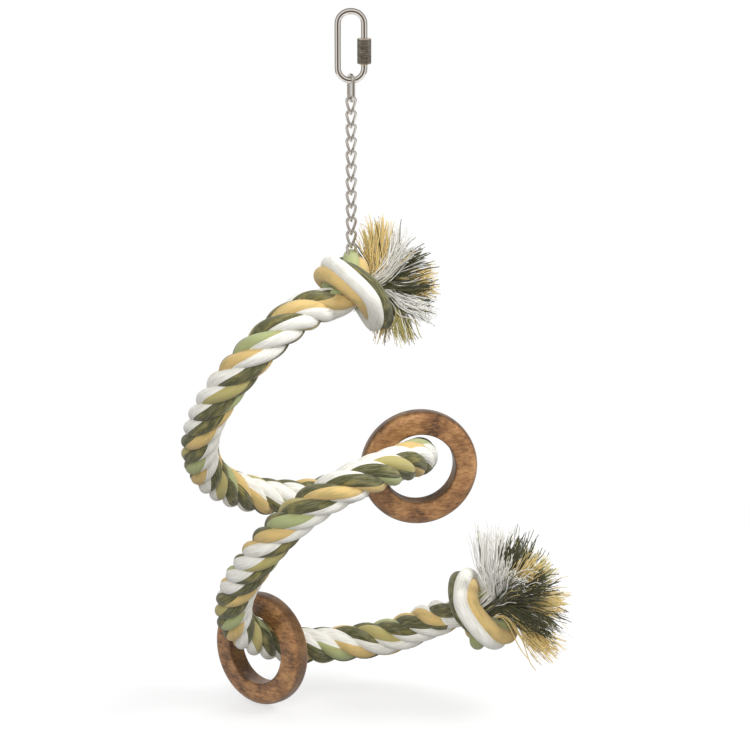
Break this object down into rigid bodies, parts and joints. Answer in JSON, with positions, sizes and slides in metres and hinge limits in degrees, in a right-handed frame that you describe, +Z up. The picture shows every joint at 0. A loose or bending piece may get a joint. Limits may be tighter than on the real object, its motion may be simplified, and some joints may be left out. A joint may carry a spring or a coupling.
{
  "type": "bird perch",
  "caption": "Hanging bird perch of wire-cored cotton rope bent into a spiral, with knotted and frayed ends, loose wooden rings and a curb chain on a screw quick link.",
  "frame": {"origin": "inside top of the quick link's eye, where the hook or cage bar that holds it bears", "axes": "+Z up along the hanging chain, +X to the right and +Y away from a viewer in front"},
  "size_m": [0.2148, 0.138, 0.397],
  "materials": {
    "nickel_steel": "bright nickel plate",
    "plain_wire": "drawn wire",
    "cotton_rope": "twisted cotton",
    "cotton_yarn": "frayed cotton yarn",
    "stained_wood": "stained and waxed"
  },
  "bodies": {
    "quick_link": {"quick_link": "nickel_steel"},
    "screw_sleeve": {"screw_sleeve": "nickel_steel"},
    "top_link": {"top_link": "nickel_steel"},
    "chain_link_01": {"chain_link_01": "nickel_steel"},
    "chain_link_02": {"chain_link_02": "nickel_steel"},
    "chain_link_03": {"chain_link_03": "nickel_steel"},
    "chain_link_04": {"chain_link_04": "nickel_steel"},
    "chain_link_05": {"chain_link_05": "nickel_steel"},
    "chain_link_06": {"chain_link_06": "nickel_steel"},
    "chain_link_07": {"chain_link_07": "nickel_steel"},
    "chain_link_08": {"chain_link_08": "nickel_steel"},
    "chain_link_09": {"chain_link_09": "nickel_steel"},
    "chain_link_10": {"chain_link_10": "nickel_steel"},
    "chain_link_11": {"chain_link_11": "nickel_steel"},
    "perch": {"anchor_link": "nickel_steel", "core_wire": "plain_wire", "rope_coil": "cotton_rope", "upper_knot": "cotton_rope", "lower_knot": "cotton_rope", "upper_tassel": "cotton_yarn", "lower_tassel": "cotton_yarn"},
    "upper_ring": {"upper_ring": "stained_wood"},
    "lower_ring": {"lower_ring": "stained_wood"}
  },
  "joints": [
    {"name": "sleeve_travel", "type": "slide", "parent": "quick_link", "child": "screw_sleeve", "axis": [0, 0, 1], "range_m": [0, 0.0065]},
    {"name": "top_link_swing", "type": "hinge", "parent": "quick_link", "child": "top_link", "pos_m": [0, 0, -0.03475], "axis": [1, 0, 0], "range_deg": [-45, 45]},
    {"name": "chain_swing_01", "type": "hinge", "parent": "top_link", "child": "chain_link_01", "pos_m": [0, 0, -0.0455], "axis": [-0.342, 0.9397, 0], "range_deg": [-25, 25]},
    {"name": "chain_swing_02", "type": "hinge", "parent": "chain_link_01", "child": "chain_link_02", "pos_m": [0, 0, -0.05245], "axis": [0, 1, 0], "range_deg": [-25, 25]},
    {"name": "chain_swing_03", "type": "hinge", "parent": "chain_link_02", "child": "chain_link_03", "pos_m": [0, 0, -0.05805], "axis": [1, 0, 0], "range_deg": [-25, 25]},
    {"name": "chain_swing_04", "type": "hinge", "parent": "chain_link_03", "child": "chain_link_04", "pos_m": [0, 0, -0.06685], "axis": [0, -1, 0], "range_deg": [-25, 25]},
    {"name": "chain_swing_05", "type": "hinge", "parent": "chain_link_04", "child": "chain_link_05", "pos_m": [0, 0, -0.07245], "axis": [-1, 0, 0], "range_deg": [-25, 25]},
    {"name": "chain_swing_06", "type": "hinge", "parent": "chain_link_05", "child": "chain_link_06", "pos_m": [0, 0, -0.08125], "axis": [0, 1, 0], "range_deg": [-25, 25]},
    {"name": "chain_swing_07", "type": "hinge", "parent": "chain_link_06", "child": "chain_link_07", "pos_m": [0, 0, -0.08685], "axis": [1, 0, 0], "range_deg": [-25, 25]},
    {"name": "chain_swing_08", "type": "hinge", "parent": "chain_link_07", "child": "chain_link_08", "pos_m": [0, 0, -0.09565], "axis": [0, -1, 0], "range_deg": [-25, 25]},
    {"name": "chain_swing_09", "type": "hinge", "parent": "chain_link_08", "child": "chain_link_09", "pos_m": [0, 0, -0.10125], "axis": [-1, 0, 0], "range_deg": [-25, 25]},
    {"name": "chain_swing_10", "type": "hinge", "parent": "chain_link_09", "child": "chain_link_10", "pos_m": [0, 0, -0.11005], "axis": [0, 1, 0], "range_deg": [-25, 25]},
    {"name": "chain_swing_11", "type": "hinge", "parent": "chain_link_10", "child": "chain_link_11", "pos_m": [0, 0, -0.11565], "axis": [1, 0, 0], "range_deg": [-25, 25]},
    {"name": "perch_swing", "type": "hinge", "parent": "chain_link_11", "child": "perch", "pos_m": [0, 0, -0.12445], "axis": [0, 1, 0], "range_deg": [-25, 25]},
    {"name": "upper_ring_turn", "type": "hinge", "parent": "perch", "child": "upper_ring", "pos_m": [0.03648, 0.00112, -0.24707], "axis": [0.1505, -0.9884, -0.0201], "continuous": true},
    {"name": "lower_ring_turn", "type": "hinge", "parent": "perch", "child": "lower_ring", "pos_m": [-0.05121, 0.02676, -0.36148], "axis": [0.6566, 0.7518, -0.0601], "continuous": true}
  ]
}
